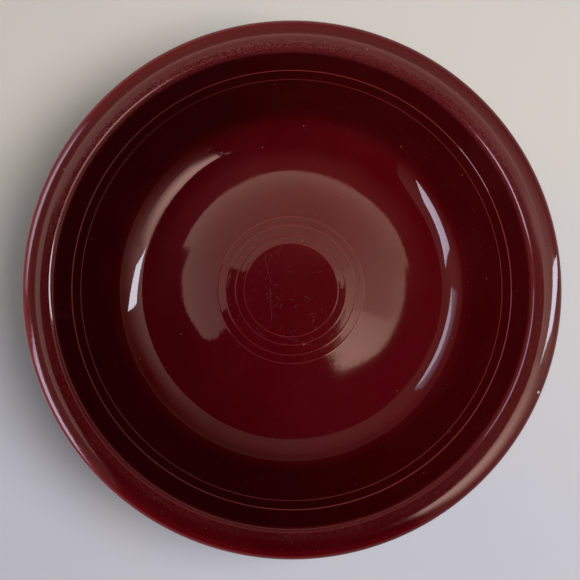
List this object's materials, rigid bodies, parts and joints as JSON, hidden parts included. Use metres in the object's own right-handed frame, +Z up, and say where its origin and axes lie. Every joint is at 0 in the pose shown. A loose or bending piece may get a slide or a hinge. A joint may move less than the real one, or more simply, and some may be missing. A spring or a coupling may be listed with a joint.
{
  "type": "serving bowl",
  "caption": "Round glazed ceramic serving bowl with a rolled flange rim, a straight side, fine raised rings inside and a dry foot ring.",
  "frame": {"origin": "centre of the circle that the foot ring stands on, at the bottom of the bowl", "axes": "+Z up along the bowl's axis of revolution; X and Y are level and interchangeable"},
  "size_m": [0.21, 0.21, 0.064],
  "materials": {
    "fired_clay": "bare fired clay, cream, matt and slightly gritty",
    "bowl_glaze": "deep maroon gloss glaze with light utensil scratches and a few pinholes",
    "foot_glaze": "deep maroon gloss glaze"
  },
  "bodies": {
    "root": {"ceramic_body": "fired_clay", "glaze_coat": "bowl_glaze", "foot_recess_glaze": "foot_glaze"}
  },
  "joints": []
}
